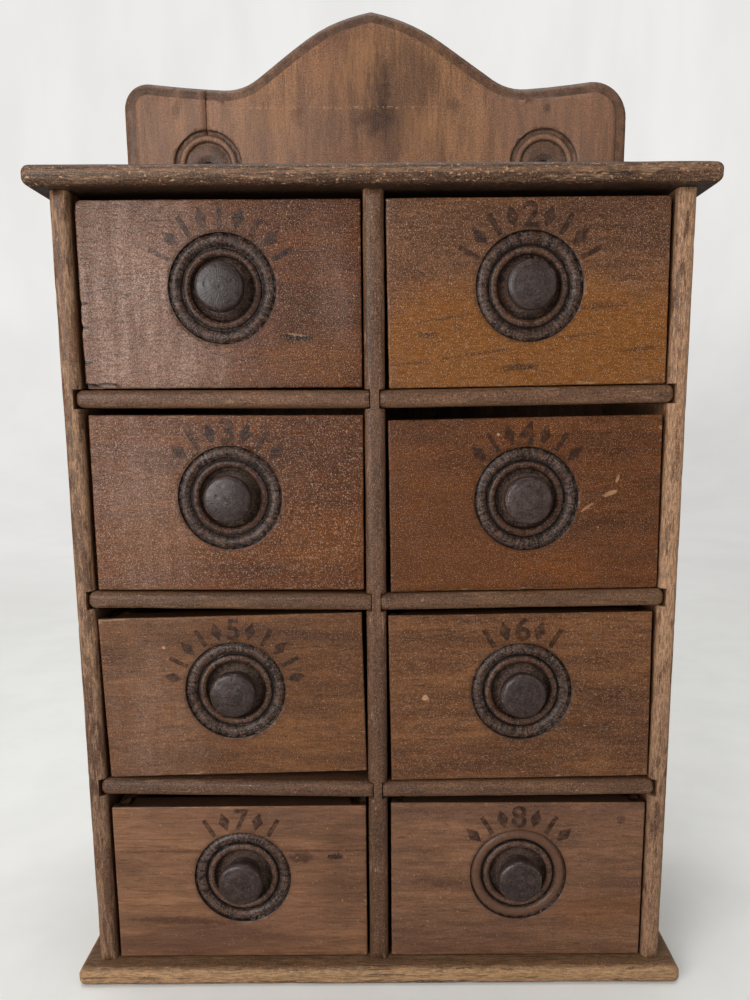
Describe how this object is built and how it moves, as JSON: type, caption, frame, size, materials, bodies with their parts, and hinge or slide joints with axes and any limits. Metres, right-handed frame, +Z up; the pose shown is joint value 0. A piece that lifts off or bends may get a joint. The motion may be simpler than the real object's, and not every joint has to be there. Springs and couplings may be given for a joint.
{
  "type": "spice drawer cabinet",
  "caption": "Small wooden hanging chest of drawers with a shaped crest board, turned knobs set in rosettes, and boards that stand proud at top and bottom.",
  "frame": {"origin": "middle of the bounding box in X and Y, on the surface that the base board rests on", "axes": "+X to the right seen from the front, +Y towards the back, +Z up"},
  "size_m": [0.269, 0.1244, 0.4482],
  "materials": {
    "case_wood": "old shellac, worn through to pale wood on the edges",
    "crest_wood": "old shellac, satin",
    "rail_wood": "old shellac, satin",
    "front_wood": "reddish brown shellac, satin",
    "knob_wood": "black stain, satin",
    "box_wood": "bare softwood, dry",
    "nail_iron": "dark rusted iron"
  },
  "bodies": {
    "case": {"left_side": "case_wood", "right_side": "case_wood", "centre_partition": "rail_wood", "shelf_nails": "nail_iron", "upper_shelves": "rail_wood", "middle_shelves": "rail_wood", "lower_shelves": "rail_wood", "top_board": "case_wood", "base_board": "case_wood", "board_nails": "nail_iron", "back_board": "crest_wood", "back_nails": "nail_iron"},
    "drawer_1": {"drawer_1_front": "front_wood", "drawer_1_sides": "box_wood", "drawer_1_back": "box_wood", "drawer_1_bottom": "box_wood", "drawer_1_knob": "knob_wood", "drawer_1_nails": "nail_iron"},
    "drawer_2": {"drawer_2_front": "front_wood", "drawer_2_sides": "box_wood", "drawer_2_back": "box_wood", "drawer_2_bottom": "box_wood", "drawer_2_knob": "knob_wood", "drawer_2_nails": "nail_iron"},
    "drawer_3": {"drawer_3_front": "front_wood", "drawer_3_sides": "box_wood", "drawer_3_back": "box_wood", "drawer_3_bottom": "box_wood", "drawer_3_knob": "knob_wood", "drawer_3_nails": "nail_iron"},
    "drawer_4": {"drawer_4_front": "front_wood", "drawer_4_sides": "box_wood", "drawer_4_back": "box_wood", "drawer_4_bottom": "box_wood", "drawer_4_knob": "knob_wood", "drawer_4_nails": "nail_iron"},
    "drawer_5": {"drawer_5_front": "front_wood", "drawer_5_sides": "box_wood", "drawer_5_back": "box_wood", "drawer_5_bottom": "box_wood", "drawer_5_knob": "knob_wood", "drawer_5_nails": "nail_iron"},
    "drawer_6": {"drawer_6_front": "front_wood", "drawer_6_sides": "box_wood", "drawer_6_back": "box_wood", "drawer_6_bottom": "box_wood", "drawer_6_knob": "knob_wood", "drawer_6_nails": "nail_iron"},
    "drawer_7": {"drawer_7_front": "front_wood", "drawer_7_sides": "box_wood", "drawer_7_back": "box_wood", "drawer_7_bottom": "box_wood", "drawer_7_knob": "knob_wood", "drawer_7_nails": "nail_iron"},
    "drawer_8": {"drawer_8_front": "front_wood", "drawer_8_sides": "box_wood", "drawer_8_back": "box_wood", "drawer_8_bottom": "box_wood", "drawer_8_knob": "knob_wood", "drawer_8_nails": "nail_iron"}
  },
  "joints": [
    {"name": "drawer_1_slide", "type": "slide", "parent": "case", "child": "drawer_1", "axis": [0, -1, 0], "range_m": [0, 0.085]},
    {"name": "drawer_2_slide", "type": "slide", "parent": "case", "child": "drawer_2", "axis": [0, -1, 0], "range_m": [0, 0.085]},
    {"name": "drawer_3_slide", "type": "slide", "parent": "case", "child": "drawer_3", "axis": [0, -1, 0], "range_m": [0, 0.085]},
    {"name": "drawer_4_slide", "type": "slide", "parent": "case", "child": "drawer_4", "axis": [0, -1, 0], "range_m": [0, 0.085]},
    {"name": "drawer_5_slide", "type": "slide", "parent": "case", "child": "drawer_5", "axis": [0, -1, 0], "range_m": [0, 0.085]},
    {"name": "drawer_6_slide", "type": "slide", "parent": "case", "child": "drawer_6", "axis": [0, -1, 0], "range_m": [0, 0.085]},
    {"name": "drawer_7_slide", "type": "slide", "parent": "case", "child": "drawer_7", "axis": [0, -1, 0], "range_m": [0, 0.085]},
    {"name": "drawer_8_slide", "type": "slide", "parent": "case", "child": "drawer_8", "axis": [0, -1, 0], "range_m": [0, 0.085]}
  ]
}
